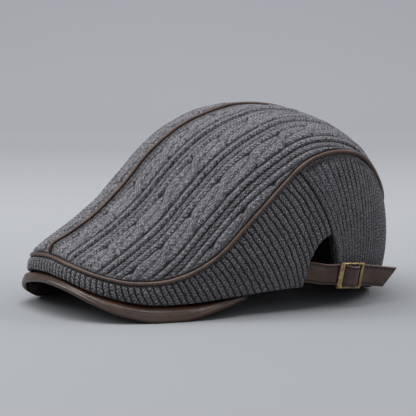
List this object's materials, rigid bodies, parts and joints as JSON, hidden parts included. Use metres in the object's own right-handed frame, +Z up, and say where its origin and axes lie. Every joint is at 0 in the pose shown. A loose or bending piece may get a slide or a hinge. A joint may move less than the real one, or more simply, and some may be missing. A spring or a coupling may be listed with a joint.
{
  "type": "knitted duckbill flat cap",
  "caption": "Knitted flat cap with a cable-knit crown, ribbed side band, leather piping and duckbill brim, and an adjusting strap with a brass buckle over a rear slit.",
  "frame": {"origin": "on the surface the cap stands on, under the middle of its box", "axes": "+Z up, -Y to the front where the brim is, +X to the wearer's left"},
  "size_m": [0.199, 0.2706, 0.1432],
  "materials": {
    "crown_knit": "heathered grey cable-knit wool",
    "band_knit": "darker heathered grey ribbed wool",
    "lining_cloth": "plain black cloth",
    "piping_leather": "smooth satin brown leather",
    "brim_leather": "smooth dark brown leather with a soft gloss",
    "brim_cloth": "plain black cloth",
    "strap_leather": "dark brown leather with stitched edges",
    "buckle_brass": "aged brass"
  },
  "bodies": {
    "root": {"crown_left": "crown_knit", "crown_right": "crown_knit", "side_band": "band_knit", "lining": "lining_cloth", "centre_piping": "piping_leather", "edge_piping": "piping_leather", "brim": "brim_leather", "brim_underside": "brim_cloth", "strap": "strap_leather", "buckle_tab": "strap_leather", "buckle": "buckle_brass"}
  },
  "joints": []
}
